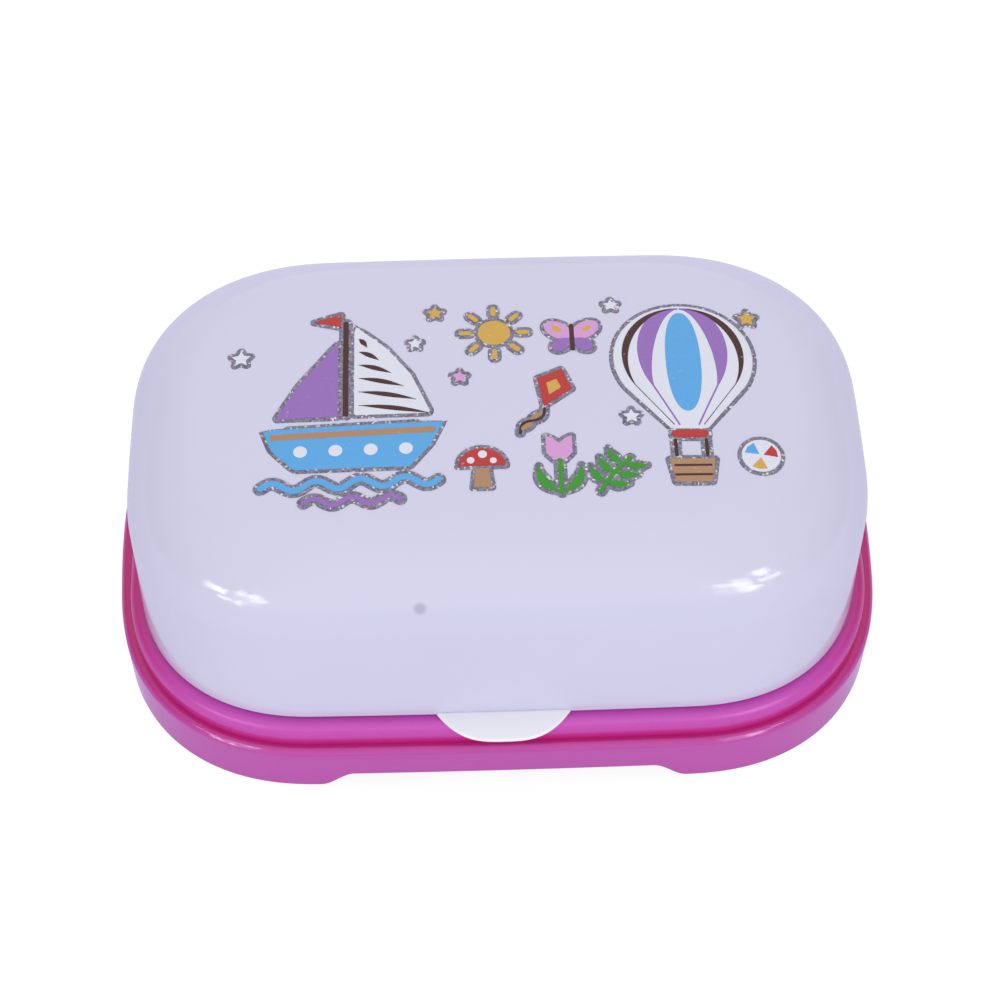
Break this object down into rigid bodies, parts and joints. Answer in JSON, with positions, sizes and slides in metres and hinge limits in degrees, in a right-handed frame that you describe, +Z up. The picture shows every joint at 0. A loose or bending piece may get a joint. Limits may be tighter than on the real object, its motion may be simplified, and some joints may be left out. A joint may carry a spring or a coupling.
{
  "type": "hinged soap dish",
  "caption": "Clamshell soap dish: a domed lid with a thumb tab, hinged at the back of a footed base that holds a slotted lift-out soap tray.",
  "frame": {"origin": "on the table, under the middle of the dish's bounding box", "axes": "+Z up, +X along the dish's length to the right, -Y towards the thumb tab at the front"},
  "size_m": [0.116, 0.0783, 0.0476],
  "materials": {
    "base_magenta": "glossy injection-moulded magenta polypropylene",
    "lid_white": "glossy injection-moulded cool white polypropylene with foil-edged stickers on its top",
    "tray_white": "satin injection-moulded white polypropylene",
    "pin_white": "plain white plastic pins"
  },
  "bodies": {
    "base": {"base_shell": "base_magenta", "hinge_pin_left": "pin_white", "hinge_pin_right": "pin_white"},
    "lid": {"lid_shell": "lid_white"},
    "tray": {"soap_tray": "tray_white"}
  },
  "joints": [
    {"name": "lid_hinge", "type": "hinge", "parent": "base", "child": "lid", "pos_m": [0, 0.03755, 0.0144], "axis": [-1, 0, 0], "range_deg": [0, 132]},
    {"name": "tray_lift", "type": "slide", "parent": "base", "child": "tray", "axis": [0, 0, 1], "range_m": [0, 0.02]}
  ]
}
